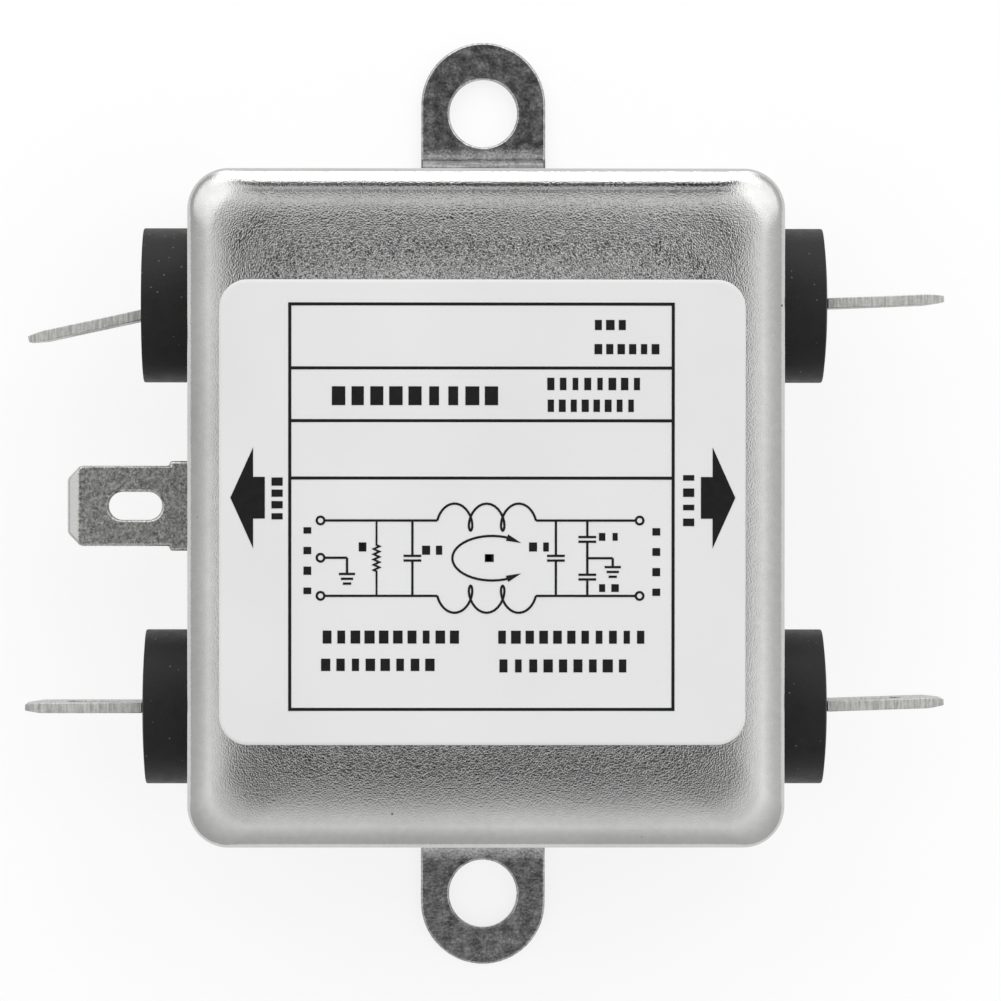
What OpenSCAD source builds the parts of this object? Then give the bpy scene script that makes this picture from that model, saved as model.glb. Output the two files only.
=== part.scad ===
// Single-phase EMI line filter in a drawn steel can, for chassis mounting.
// The part lies on its base: +Z points out of the closed end that carries the label, -X is the
// line side and +X the load side. The origin is midway between the two mounting holes, on the
// plane that the filter is bolted to.

/* [Can] */
// Width of the can from line side to load side
can_x = 46; // [45:0.5:50]
// Length of the can between the two mounting ears
can_y = 52.3; // [50.3:0.1:54.3]
// Height of the can over its crimped rim
can_h = 29; // [29:0.5:34]
// Sheet thickness of the can
wall = 0.6; // [0.5:0.1:0.7]
// Outer radius of the upright corners
corner_r = 3.2; // [3.1:0.1:4.5]
// Outer radius round the closed end
top_r = 3; // [2:0.1:3]

/* [Mounting ears] */
// Distance between the two mounting holes
hole_pitch = 63.5; // [63:0.5:68]
// Diameter of a mounting hole
hole_d = 5.5; // [4:0.1:6]
// Width of an ear
ear_w = 10.1; // [9:0.1:12]
// Thickness of the base plate
plate_t = 1; // [0.8:0.1:1.2]
// How far the round end of an ear is centred beyond its hole
ear_beyond = 0.7; // [0:0.1:2]

/* [Crimped rim] */
// How far a crimped lip reaches under the base plate
lip_in = 1.5; // [1:0.1:2]
// Length of the lips on the line and load sides
side_lip = 40; // [30:1:42]

/* [Tab terminals] */
// Distance between the two terminals of one side
terminal_pitch = 31.7; // [31:0.1:33]
// Height of every terminal above the mounting plane
terminal_z = 14.5; // [14:0.1:15]
// Width of a blade
tab_w = 6.35; // [6.3:0.05:6.4]
// Thickness of a blade
tab_t = 0.8; // [0.75:0.05:0.85]
// How far a blade stands out of its bushing
tab_out = 9.25; // [8:0.05:10]
// Length and width of the solder slot in a blade
tab_slot = [4.2, 2.2];
// Sideways bend of the upper line blade, in degrees
line_upper_bend = -12.2; // [-15:0.1:15]
// Sideways bend of the lower line blade, in degrees
line_lower_bend = 0; // [-15:0.1:15]
// Sideways bend of the upper load blade, in degrees
load_upper_bend = 2.3; // [-15:0.1:15]
// Sideways bend of the lower load blade, in degrees
load_lower_bend = 1.9; // [-15:0.1:15]
// How far the flat ground tab stands out of the can
ground_out = 9.95; // [8:0.05:11]

/* [Bushings] */
// Diameter of an insulating bushing
bushing_d = 12.2; // [11:0.1:13]
// How far a bushing stands out of the can
bushing_out = 3.95; // [3:0.05:5]
// Diameter of the bushing's spigot through the wall
spigot_d = 8; // [7:0.1:9]

/* [Choke] */
// Outer diameter of the ferrite core
core_od = 25; // [24:0.1:25.5]
// Inner diameter of the ferrite core
core_id = 15; // [14.5:0.1:16]
// Height of the ferrite core
core_h = 10; // [8:0.1:10]
// Diameter of the enamelled winding wire
wire_d = 1.5; // [1:0.1:1.5]
// Turns in each of the two windings
turns = 9; // [5:1:9]
// Angle of the core that one winding covers, in degrees
winding_span = 140; // [130:1:144]

/* [Label] */
// Width and length of the label
label_size = [40.4, 35.7];
// Place of the label's middle on the closed end
label_at = [-0.3, -0.3];
// Radius of the label's corners
label_r = 2.2; // [1:0.1:4]
// Width of a ruled line in the printed table
rule_w = 0.24; // [0.1:0.01:0.3]
// Width of a line in the printed circuit
ink_w = 0.18; // [0.1:0.01:0.2]

/* [Hidden] */
$fn = 64;

// The can, from outside to inside
half_x = can_x / 2;
half_y = can_y / 2;
in_x = half_x - wall;
in_y = half_y - wall;
in_r = corner_r - wall;
in_top_r = top_r - wall;
in_h = can_h - wall;
// The rim folds under the plate by one sheet thickness, and the plate lies on that fold
plate_z = wall;
plate_top = plate_z + plate_t;
fit = 0.05;

// Ears and the notches that they leave the can by
ear_end_y = hole_pitch / 2 + ear_beyond;
notch_w = ear_w + 0.4;
notch_top = plate_top + 0.1;
joggle_from = half_y + 0.15;
joggle_run = 1.9;
relief = 1.2;

// Terminals
row_y = terminal_pitch / 2;
bore_d = spigot_d + 0.2;
neck_w = 4;
neck_slot = [neck_w + 2 * fit, tab_t + 2 * fit];
spigot_end = in_x - 1.4;
washer_t = 0.8;
washer_d = 11;
lug_from = in_x - 5.4;
lug_x = in_x - 4.1;
choke_lug_x = in_x - 3.5;
lug_low = terminal_z - neck_w / 2;
bushing_face = half_x + bushing_out;
tip_x = bushing_face + tab_out;
crown = 0.3;
crown_flat_r = 3.6;
tip_corner = 1;
tip_bevel = 1.3;
tip_t = 0.5;
// A blade is bent inside its bushing, just outside the wall
bend_from = half_x + 0.3;
slot_from_tip = 3.25;

// Ground tab
ground_tip_x = half_x + ground_out;
shoulder_w = 7.1;
shoulder_out = 1.9;
foot_low = 4.5;
ground_wire_z = foot_low + 1;
ground_wire_d = 1;

// Potting resin in the closed end, with the tall parts standing in it
resin_low = in_h - 2.5;

// Choke, which hangs in the can by its divider
clear = 0.05;
coil_a = (core_od - core_id) / 4 + clear + wire_d / 2;
coil_b = core_h / 2 + clear + wire_d / 2;
coil_r = (core_od + core_id) / 4;
choke_z = resin_low - wire_d / 2 - coil_b;
coil_low = choke_z - coil_b;
coil_bend = 1.2;
core_edge = 1;
divider_t = 1.2;

// Capacitors and bleed resistor
x_cap = [6, 18, 12];
x_cap_mid = in_x - 1.1 - x_cap[0] / 2;
x_cap_top = resin_low + 1;
x_cap_low = x_cap_top - x_cap[2];
x_lead_y = 7.5;
x_lead_d = 0.8;
x_lead_z = lug_low + 0.5;
y_cap_d = 9;
y_cap_t = 4;
y_cap_at = [9, 9, 10];
lead_d = 0.6;
splice_at = [17, 0, 10];
splice = [1.6, 1.6, 2.4];
resistor_d = 3.2;
resistor_l = 9;
resistor_z = 9;

// Label
label_t = 0.15;
print_t = 0.03;

// Colours
steel = [0.62, 0.62, 0.61];
plate_steel = [0.38, 0.38, 0.38];
tin = [0.68, 0.68, 0.67];
black_plastic = [0.15, 0.15, 0.16];
fibre = [0.45, 0.16, 0.12];
copper = [0.66, 0.32, 0.16];
film_box = [0.85, 0.72, 0.2];
disc_blue = [0.2, 0.35, 0.6];

// ---- Shapes that several pieces use ----

function unit(v) = v / norm(v);
function perp(v) = [-v[1], v[0]];
function backwards(list) = [for (i = [len(list) - 1:-1:0]) list[i]];
function but_first(list) = [for (i = [1:len(list) - 1]) list[i]];
function arc(mid, r, from, to, steps) =
    [for (i = [0:steps]) let (a = from + (to - from) * i / steps) mid + r * [cos(a), sin(a)]];

// One side of a strip that follows a flat path, at the distance d from it
function strip_side(path, d) = [
    for (i = [0:len(path) - 1])
        let (
            before = unit(i == 0 ? path[1] - path[0] : path[i] - path[i - 1]),
            after = i == len(path) - 1 ? before : unit(path[i + 1] - path[i]),
            out = unit(perp(before) + perp(after))
        ) path[i] + out * d / (out * perp(before))
];
function strip(path, t) = concat(strip_side(path, t / 2), backwards(strip_side(path, -t / 2)));

// A round wire along a path in space: each ring's normal is carried on from the ring before
function heading(path, i) = unit(path[min(i + 1, len(path) - 1)] - path[max(i - 1, 0)]);
function carried(n, t) = unit(n - (n * t) * t);
function first_normal(t) = carried(abs(t[2]) > 0.9 ? [1, 0, 0] : [0, 0, 1], t);
function normals(path) = [
    for (
        i = 0, n = first_normal(heading(path, 0));
        i < len(path);
        i = i + 1, n = carried(n, heading(path, min(i, len(path) - 1)))
    ) n
];

module wire(path, d, sides = 8) {
    across = normals(path);
    points = [
        for (i = [0:len(path) - 1])
            let (u = across[i], v = cross(heading(path, i), u))
            for (s = [0:sides - 1])
                path[i] + d / 2 * (cos(360 * s / sides) * u + sin(360 * s / sides) * v)
    ];
    last = sides * (len(path) - 1);
    faces = concat(
        [[for (s = [0:sides - 1]) s]],
        [
            for (i = [0:len(path) - 2], s = [0:sides - 1])
                let (a = i * sides + s, b = i * sides + (s + 1) % sides)
                [a, a + sides, b + sides, b]
        ],
        [[for (s = [sides - 1:-1:0]) last + s]]
    );
    polyhedron(points, faces, convexity = 10);
}

module rounded_rect(size, r) {
    x = size[0] / 2 - r;
    y = size[1] / 2 - r;
    polygon(concat(
        arc([x, y], r, 0, 90, 12), arc([-x, y], r, 90, 180, 12),
        arc([-x, -y], r, 180, 270, 12), arc([x, -y], r, 270, 360, 12)
    ));
}

// Section through an upright wall of a drawn form, measured outwards from its corner's axis
module drawn_section(r, h, edge_r) {
    intersection() {
        union() {
            square([r, h - edge_r]);
            square([r - edge_r, h]);
            translate([r - edge_r, h - edge_r]) circle(edge_r);
        }
        square([r, h]);
    }
}

// A drawn block: rounded upright corners and a rounded edge round its top
module drawn_block(x, y, h, r, edge_r) {
    for (turn = [0, 180])
        rotate(turn) {
            for (side = [0, 1])
                translate([side ? -(x - r) : x - r, y - r])
                    rotate(90 * side) rotate_extrude(angle = 90) drawn_section(r, h, edge_r);
            translate([x - r, y - r])
                rotate([90, 0, 0]) linear_extrude(2 * (y - r)) drawn_section(r, h, edge_r);
            translate([-(x - r), y - r])
                rotate([90, 0, 90]) linear_extrude(2 * (x - r)) drawn_section(r, h, edge_r);
        }
    translate([-(x - r), -(y - r), 0]) cube([2 * (x - r), 2 * (y - r), h]);
}

// A crimped lip along X, folded inwards about the plate's lower edge
module lip(length) {
    rotate([90, 0, 90])
        linear_extrude(length, center = true)
            polygon(concat([[-lip_in, wall], [-lip_in, 0]], arc([0, wall], wall, 270, 360, 6)));
}

// Puts a line or load piece at its terminal: side -1 is the line side, row 1 the upper one
module at_terminal(side, row) {
    translate([0, row * row_y, terminal_z])
        mirror([side < 0 ? 1 : 0, 0, 0])
            children();
}

// ---- Case ----

module case_can() {
    color(steel) {
        difference() {
            drawn_block(half_x, half_y, can_h, corner_r, top_r);
            translate([0, 0, -1]) drawn_block(in_x, in_y, in_h + 1, in_r, in_top_r);
            translate([-half_x - 1, -half_y - 1, -1]) cube([can_x + 2, can_y + 2, 1 + plate_z]);
            for (side = [-1, 1], row = [-1, 1])
                at_terminal(side, row)
                    translate([in_x - 1, 0, 0]) rotate([0, 90, 0]) cylinder(h = wall + 2, d = bore_d);
            translate([-half_x - 1, -shoulder_w / 2 - 0.1, terminal_z - tab_t / 2 - 0.25])
                cube([wall + 2, shoulder_w + 0.2, tab_t + 0.35]);
            for (end = [-1, 1])
                translate([-notch_w / 2, end * half_y - 2, 0]) cube([notch_w, 4, notch_top]);
        }
        for (side = [-1, 1])
            rotate(side * -90) translate([0, in_x, 0]) lip(side_lip);
        end_lip = in_x - corner_r - relief - notch_w / 2;
        for (turn = [0, 180], side = [-1, 1])
            rotate(turn)
                translate([side * (notch_w / 2 + relief / 2 + end_lip / 2), in_y, 0]) lip(end_lip);
    }
}

// One ear, stepped down by a joggle to the mounting plane, with a half-round end
module ear() {
    step_y = joggle_from + joggle_run;
    tilt = 2 * atan(plate_z / joggle_run);
    bend_r = joggle_run / 2 / sin(tilt);
    mid_z = plate_t / 2;
    path = concat(
        [[in_y - 1, plate_z + mid_z]],
        arc([joggle_from, plate_z + mid_z - bend_r], bend_r, 90, 90 - tilt, 6),
        but_first(arc([step_y, mid_z + bend_r], bend_r, 270 - tilt, 270, 6)),
        [[ear_end_y + ear_w / 2, mid_z]]
    );
    difference() {
        rotate([90, 0, 90]) linear_extrude(ear_w, center = true) polygon(strip(path, plate_t));
        translate([0, hole_pitch / 2, -1]) cylinder(h = plate_t + 2, d = hole_d);
        translate([0, ear_end_y, -1])
            linear_extrude(plate_t + 2)
                difference() {
                    translate([-ear_w, 0]) square(2 * ear_w);
                    circle(d = ear_w);
                }
    }
}

module base_plate() {
    color(plate_steel) {
        translate([0, 0, plate_z])
            linear_extrude(plate_t) rounded_rect(2 * [in_x - fit, in_y - fit], in_r);
        for (turn = [0, 180]) rotate(turn) ear();
    }
}

module insulating_liner() {
    color([0.5, 0.55, 0.42])
        translate([0, 0, plate_top])
            linear_extrude(0.25) rounded_rect(2 * [in_x - 0.2, in_y - 0.2], in_r);
}

module resin_bed() {
    color([0.12, 0.1, 0.08])
        difference() {
            drawn_block(in_x, in_y, in_h, in_r, in_top_r);
            translate([-half_x, -half_y, -1]) cube([can_x, can_y, resin_low + 1]);
            for (side = [-1, 1])
                translate([side * x_cap_mid, 0, x_cap_top - x_cap[2] / 2]) cube(x_cap, center = true);
        }
}

// ---- Label ----

module label() {
    color([0.88, 0.88, 0.88])
        translate([label_at[0], label_at[1], can_h])
            linear_extrude(label_t) rounded_rect(label_size, label_r);
}

module line(from, to, w = ink_w) {
    polygon(strip([from, to], w));
}

module box_line(low, high, w) {
    for (y = [low[1], high[1]]) line([low[0] - w / 2, y], [high[0] + w / 2, y], w);
    for (x = [low[0], high[0]]) line([x, low[1]], [x, high[1]], w);
}

module ring(at, r) {
    translate(at)
        difference() {
            circle(r + ink_w / 2);
            circle(r - ink_w / 2);
        }
}

// A flow arrow, pointing to -X with its tip at the origin
module flow_arrow() {
    head = 1.75;
    half = 3.87;
    shaft = 0.9;
    shaft_half = 1.6;
    polygon([[0, 0], [head, half], [head, shaft_half], [head + shaft, shaft_half],
        [head + shaft, -shaft_half], [head, -shaft_half], [head, -half]]);
}

// Earth sign: three bars that shorten downwards
module earth_sign(at) {
    for (i = [0:2]) line(at + [-0.62 + 0.15 * i, -0.37 * i], at + [0.62 - 0.15 * i, -0.37 * i]);
}

// Two facing plates, the sign for a capacitor, in an upright lead from high to low
module capacitor_sign(x, high, low) {
    mid = (high + low) / 2;
    for (s = [-1, 1]) {
        line([x - 0.68, mid + s * 0.18], [x + 0.68, mid + s * 0.18]);
        line([x, mid + s * 0.18], [x, s > 0 ? high : low]);
    }
}

module resistor_sign(x, high, low) {
    zigs = 5;
    step = 2.02 / (2 * zigs);
    mid = (high + low) / 2;
    top = mid + zigs * step;
    path = concat(
        [[x, high], [x, top]],
        [for (i = [0:2 * zigs - 1]) [x + (i % 2 == 0 ? 0.22 : -0.22), top - step * (i + 0.5)]],
        [[x, mid - zigs * step], [x, low]]
    );
    polygon(strip(path, min(ink_w, 0.15)));
}

// One winding of the choke as drawn: three arches with two narrow loops hanging between them
module winding_sign(from, to) {
    swing = 0.62;
    rise = 1.03;
    first = -105;
    drift = (to - from + 2 * swing * sin(first)) / (720 - 2 * first);
    start = from - drift * first - swing * sin(first);
    for (span = [[first, 180], [180, 540], [540, 720 - first]])
        polygon(strip(
            [for (i = [0:20]) let (t = span[0] + (span[1] - span[0]) * i / 20)
                [start + drift * t + swing * sin(t), rise * (cos(t) - cos(first))]],
            ink_w
        ));
    for (t = [180, 540]) translate([start + drift * t, -rise * (1 + cos(first))]) circle(ink_w / 2 + 0.02);
}

// The loop through the choke: a long bow that ends in an arrowhead at either side
function flow_at(t) = [0.74 + 3.05 * cos(t), 1.71 * sin(t)];
module flow_sign() {
    across = 0.26 * perp(unit(flow_at(43) - flow_at(68)));
    polygon(strip([for (i = [0:29]) flow_at(64 + 8 * i)], ink_w));
    for (flip = [0, 1]) mirror([0, flip])
        polygon([flow_at(43), flow_at(68) + across, flow_at(68) - across]);
}

// The circuit inside: bleed resistor, capacitor, choke, capacitor, and two capacitors to earth
module circuit_sign() {
    rail_high = -0.62;
    rail_low = -6.4;
    rail_mid = (rail_high + rail_low) / 2;
    left = -12.04;
    right = 11.68;
    coil = [-3.46, 4.1];
    for (y = [rail_high, rail_low]) {
        line([left, y], [coil[0], y]);
        line([coil[1], y], [right, y]);
        for (x = [left - 0.37, right + 0.37]) ring([x, y], 0.29);
    }
    ring([left - 0.37, -3.48], 0.29);
    line([left, -3.48], [-10.38, -3.48]);
    line([-10.38, -3.48], [-10.38, -4.72]);
    earth_sign([-10.38, -4.72]);
    resistor_sign(-8.12, rail_high, rail_low);
    capacitor_sign(-5.37, rail_high, rail_low);
    translate([0, rail_mid]) {
        for (flip = [0, 1]) mirror([0, flip])
            translate([0, rail_high - rail_mid]) winding_sign(coil[0], coil[1]);
        flow_sign();
    }
    capacitor_sign(5.63, rail_high, rail_low);
    capacitor_sign(8.04, rail_high, rail_mid);
    capacitor_sign(8.04, rail_mid, rail_low);
    line([8.04, rail_mid], [9.99, rail_mid]);
    line([9.99, rail_mid], [9.99, -4.19]);
    earth_sign([9.99, -4.19]);
}

module label_print() {
    table_low = [-14.77, -15.11];
    table_high = [14.62, 15.97];
    color([0.12, 0.12, 0.13])
        translate([label_at[0], label_at[1], can_h + label_t])
            linear_extrude(print_t) {
                box_line(table_low, table_high, rule_w);
                for (y = [11.07, 7.03, 2.63]) line([table_low[0], y], [table_high[0], y], rule_w);
                translate([-19.33, 1.12]) flow_arrow();
                translate([19.4, 1.12]) mirror([1, 0]) flow_arrow();
                circuit_sign();
            }
}

// ---- Terminals ----

// Middle line of a blade seen on edge, from its lug or neck outwards
function blade_path(from, reach, bend) =
    bend == 0
        ? [[from, 0], [bend_from + reach, 0]]
        : [[from, 0], [bend_from, 0], [bend_from, 0] + reach * [cos(bend), sin(bend)]];

module bushing(bend) {
    path = blade_path(spigot_end - 1, bushing_face - bend_from + 1.5, bend);
    color(black_plastic)
        difference() {
            rotate([0, 90, 0])
                rotate_extrude()
                    polygon(concat(
                        [
                            [0, spigot_end], [spigot_d / 2 - 0.3, spigot_end],
                            [spigot_d / 2, spigot_end + 0.3], [spigot_d / 2, half_x],
                            [bushing_d / 2, half_x], [bushing_d / 2, bushing_face - crown - 0.15],
                            [bushing_d / 2 - 0.15, bushing_face - crown]
                        ],
                        [for (i = [1:4]) [
                            bushing_d / 2 - 0.15 - i / 4 * (bushing_d / 2 - 0.15 - crown_flat_r),
                            bushing_face - crown * (1 - i / 4) * (1 - i / 4)
                        ]],
                        [[0, bushing_face]]
                    ));
            translate([0, 0, -neck_slot[0] / 2])
                linear_extrude(neck_slot[0]) polygon(strip(path, neck_slot[1]));
        }
}

module washer() {
    color(fibre)
        translate([in_x - washer_t, 0, 0])
            rotate([0, 90, 0])
                difference() {
                    cylinder(h = washer_t, d = washer_d);
                    translate([0, 0, -1]) cylinder(h = washer_t + 2, d = spigot_d);
                }
}

// Outline of a blade seen on edge: a strip along the path, thinned over its last stretch
function blade_outline(path, bevel = tip_bevel, end_t = tip_t) =
    let (
        end = path[len(path) - 1],
        along = heading(path, len(path) - 1),
        waist = concat([for (i = [0:len(path) - 2]) path[i]], [end - bevel * along])
    )
    concat(
        strip_side(waist, tab_t / 2),
        [end + end_t / 2 * perp(along), end - end_t / 2 * perp(along)],
        backwards(strip_side(waist, -tab_t / 2))
    );

// The cut corners and the solder slot, for a blade in the XZ plane with its tip at tip along X
module blade_end_cuts(tip, w) {
    slot_r = tab_slot[1] / 2;
    for (z = [-1, 1])
        translate([tip, 0, z * w / 2])
            rotate([0, 45, 0])
                cube([tip_corner * sqrt(2), tab_t + 2, tip_corner * sqrt(2)], center = true);
    translate([tip - slot_from_tip - tab_slot[0] / 2, 0, 0])
        rotate([90, 0, 0])
            linear_extrude(tab_t + 2, center = true)
                union() {
                    square([tab_slot[0] - tab_slot[1], tab_slot[1]], center = true);
                    for (s = [-1, 1]) translate([s * (tab_slot[0] / 2 - slot_r), 0]) circle(slot_r);
                }
}

// A blade with its neck through the bushing and its lug inside, bent sideways in the bushing
module tab_terminal(bend) {
    reach = tip_x - bend_from;
    path = blade_path(lug_from, reach, bend);
    stake = 0.5;
    color(tin)
        difference() {
            translate([0, 0, -tab_w / 2]) linear_extrude(tab_w) polygon(blade_outline(path));
            for (z = [-1, 1]) {
                translate([spigot_end, -2, z > 0 ? neck_w / 2 : -neck_w / 2 - 3])
                    cube([bushing_face - spigot_end, 4, 3]);
                translate([lug_from - 1, -2, z > 0 ? neck_w / 2 : -neck_w / 2 - 3])
                    cube([spigot_end - stake - lug_from + 1, 4, 3]);
                translate([spigot_end - stake - 1, -2, z > 0 ? neck_w / 2 + 0.5 : -neck_w / 2 - 3.5])
                    cube([stake + 2, 4, 3]);
            }
            translate([bend_from, 0, 0]) rotate(bend) blade_end_cuts(reach, tab_w);
        }
}

module ground_tab() {
    foot_x = in_x - tab_t / 2;
    bend_r = 0.6;
    path = concat(
        [[foot_x, foot_low - terminal_z]],
        arc([foot_x + bend_r, -bend_r], bend_r, 180, 90, 5),
        [[ground_tip_x, 0]]
    );
    color([0.48, 0.48, 0.47])
        translate([0, 0, terminal_z])
            mirror([1, 0, 0])
                difference() {
                    rotate([90, 0, 0])
                        linear_extrude(shoulder_w, center = true) polygon(blade_outline(path, 0.9, 0.35));
                    for (y = [-1, 1])
                        translate([half_x + shoulder_out, y > 0 ? tab_w / 2 : -tab_w / 2 - 2, -2])
                            cube([ground_out, 2, 4]);
                    rotate([90, 0, 0]) blade_end_cuts(ground_tip_x, tab_w);
                }
}

// ---- Choke ----

module choke_core() {
    r_in = core_id / 2;
    r_out = core_od / 2;
    half = core_h / 2;
    e = core_edge;
    color([0.18, 0.19, 0.2])
        translate([0, 0, choke_z])
            rotate_extrude()
                polygon(concat(
                    arc([r_out - e, half - e], e, 0, 90, 4), arc([r_in + e, half - e], e, 90, 180, 4),
                    arc([r_in + e, e - half], e, 180, 270, 4), arc([r_out - e, e - half], e, 270, 360, 4)
                ));
}

module choke_divider() {
    reach = sqrt(pow(core_id / 2, 2) - pow(divider_t / 2, 2));
    color([0.8, 0.78, 0.7])
        translate([-reach, -divider_t / 2, choke_z - core_h / 2])
            cube([2 * reach, divider_t, resin_low - choke_z + core_h / 2]);
}

// One turn as a loop round the core's section, from its outer lower corner inwards
function turn_points() =
    let (a = coil_a - coil_bend, b = coil_b - coil_bend)
    concat(
        arc([a, -b], coil_bend, 315, 270, 1), arc([-a, -b], coil_bend, 270, 180, 2),
        arc([-a, b], coil_bend, 180, 90, 2), arc([a, b], coil_bend, 90, 0, 2),
        arc([a, -b], coil_bend, 0, -22.5, 1)
    );

function winding_path() =
    let (
        loop = turn_points(),
        per_turn = len(loop),
        first = 90 + winding_span / 2,
        pitch = winding_span / turns,
        lead_in = [
            [-choke_lug_x, row_y - tab_t / 2, terminal_z + 1.1],
            [-choke_lug_x, row_y - 2.2, terminal_z + 1.1],
            [-choke_lug_x + 0.7, row_y - 3.4, terminal_z + 0.6],
            [-choke_lug_x + 2.7, row_y - 4.9, coil_low + 0.3],
            [-choke_lug_x + 5.1, row_y - 7.6, coil_low]
        ],
        coil = [
            for (k = [0:turns - 1], j = [0:per_turn - 1])
                let (
                    a = first - pitch * (k + j / per_turn),
                    r = coil_r + loop[j][0]
                ) [r * cos(a), r * sin(a), choke_z + loop[j][1]]
        ]
    )
    concat(lead_in, coil, [for (p = backwards(lead_in)) [-p[0], p[1], p[2]]]);

module choke_winding_upper() {
    color(copper) wire(winding_path(), wire_d);
}

module choke_winding_lower() {
    color(copper) rotate(180) wire(winding_path(), wire_d);
}

// ---- Capacitors, bleed resistor and earth lead ----

module x_capacitor(side) {
    x = side * x_cap_mid;
    color(film_box)
        translate([x, 0, x_cap_low + x_cap[2] / 2]) cube(x_cap, center = true);
    color(tin)
        for (row = [-1, 1])
            wire([
                [x, row * x_lead_y, x_cap_low + 0.6],
                [x, row * x_lead_y, x_lead_z + 0.7],
                [x, row * (x_lead_y + 0.2), x_lead_z + 0.2],
                [x, row * (x_lead_y + 0.7), x_lead_z],
                [x, row * (row_y - tab_t / 2), x_lead_z]
            ], x_lead_d);
}

module y_capacitor(row) {
    mid = [y_cap_at[0], row * y_cap_at[1], y_cap_at[2]];
    edge_x = mid[0] + y_cap_d / 2 - 0.7;
    color(disc_blue)
        translate(mid - [0, 0, y_cap_t / 2])
            rotate_extrude()
                polygon(concat(
                    [[0, 0]], arc([y_cap_d / 2 - 1.2, 1.2], 1.2, 270, 360, 4),
                    arc([y_cap_d / 2 - 1.2, y_cap_t - 1.2], 1.2, 0, 90, 4), [[0, y_cap_t]]
                ));
    color(tin) {
        wire([
            [edge_x - 0.6, row * (y_cap_at[1] + 1.8), mid[2]],
            [edge_x + 1.6, row * (y_cap_at[1] + 3.2), mid[2]],
            [lug_x - 0.6, row * (row_y - 0.6), mid[2]],
            [lug_x, row * row_y, mid[2] + 0.7],
            [lug_x, row * row_y, lug_low]
        ], lead_d);
        wire([
            [edge_x - 0.6, row * (y_cap_at[1] - 1.8), mid[2]],
            [edge_x + 1.6, row * (y_cap_at[1] - 3.2), mid[2]],
            [splice_at[0], row * 3.6, mid[2]],
            [splice_at[0], row * splice[1] / 2, mid[2]]
        ], lead_d);
    }
}

module bleed_resistor() {
    x = -lug_x;
    half = resistor_l / 2;
    color([0.75, 0.62, 0.42])
        translate([x, half, resistor_z]) rotate([90, 0, 0]) {
            cylinder(h = resistor_l, d = resistor_d - 0.5);
            for (z = [0, resistor_l - 2.2]) translate([0, 0, z]) cylinder(h = 2.2, d = resistor_d);
        }
    color(tin)
        for (row = [-1, 1])
            wire([
                [x, row * (half - 0.6), resistor_z], [x, row * (row_y - 1.4), resistor_z],
                [x, row * (row_y - 0.4), resistor_z + 0.4], [x, row * row_y, resistor_z + 1.4],
                [x, row * row_y, lug_low]
            ], lead_d);
}

module ground_wire() {
    color([0.3, 0.5, 0.2])
        wire([
            [-in_x + tab_t, 0, ground_wire_z], [splice_at[0] - 6, 0, ground_wire_z],
            [splice_at[0] - 2, 0, ground_wire_z + 0.8], [splice_at[0] - 0.4, 0, ground_wire_z + 2.2],
            [splice_at[0], 0, splice_at[2] - 0.6]
        ], ground_wire_d);
    color(tin) translate(splice_at) cube(splice, center = true);
}

case_can();
base_plate();
label();
label_print();
at_terminal(-1, 1) bushing(line_upper_bend);  // line_bushing_upper
at_terminal(-1, -1) bushing(line_lower_bend);  // line_bushing_lower
at_terminal(1, 1) bushing(load_upper_bend);  // load_bushing_upper
at_terminal(1, -1) bushing(load_lower_bend);  // load_bushing_lower
at_terminal(-1, 1) washer();  // line_washer_upper
at_terminal(-1, -1) washer();  // line_washer_lower
at_terminal(1, 1) washer();  // load_washer_upper
at_terminal(1, -1) washer();  // load_washer_lower
at_terminal(-1, 1) tab_terminal(line_upper_bend);  // line_terminal_upper
at_terminal(-1, -1) tab_terminal(line_lower_bend);  // line_terminal_lower
at_terminal(1, 1) tab_terminal(load_upper_bend);  // load_terminal_upper
at_terminal(1, -1) tab_terminal(load_lower_bend);  // load_terminal_lower
ground_tab();
insulating_liner();
resin_bed();
choke_core();
choke_divider();
choke_winding_upper();
choke_winding_lower();
x_capacitor(-1);  // x_capacitor_line
x_capacitor(1);  // x_capacitor_load
y_capacitor(1);  // y_capacitor_upper
y_capacitor(-1);  // y_capacitor_lower
bleed_resistor();
ground_wire();
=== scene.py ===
import math
import bmesh
import bpy
from mathutils import Matrix, Vector


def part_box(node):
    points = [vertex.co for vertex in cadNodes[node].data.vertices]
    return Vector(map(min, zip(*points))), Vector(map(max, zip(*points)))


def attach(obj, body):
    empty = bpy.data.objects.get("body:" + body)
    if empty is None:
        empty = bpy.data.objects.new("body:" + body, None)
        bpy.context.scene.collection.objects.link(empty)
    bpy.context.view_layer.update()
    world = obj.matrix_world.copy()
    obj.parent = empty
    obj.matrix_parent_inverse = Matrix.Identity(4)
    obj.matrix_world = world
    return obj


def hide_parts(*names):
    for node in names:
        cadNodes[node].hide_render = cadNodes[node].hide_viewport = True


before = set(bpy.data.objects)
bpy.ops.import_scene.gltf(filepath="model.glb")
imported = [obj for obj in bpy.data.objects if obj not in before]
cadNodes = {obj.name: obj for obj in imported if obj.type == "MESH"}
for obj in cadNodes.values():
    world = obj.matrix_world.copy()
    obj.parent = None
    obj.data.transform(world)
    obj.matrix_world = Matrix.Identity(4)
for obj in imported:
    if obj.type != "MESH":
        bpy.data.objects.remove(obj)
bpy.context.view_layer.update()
mm = 0.001

canLow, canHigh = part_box("case_can")
halfX = (canHigh[0] - canLow[0]) / 2
halfY = (canHigh[1] - canLow[1]) / 2
canTop = canHigh[2]


def linear(hexColour):
    channels = [int(hexColour[i:i + 2], 16) / 255 for i in (1, 3, 5)]
    return [c / 12.92 if c <= 0.04045 else ((c + 0.055) / 1.055) ** 2.4 for c in channels] + [1.0]


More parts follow.
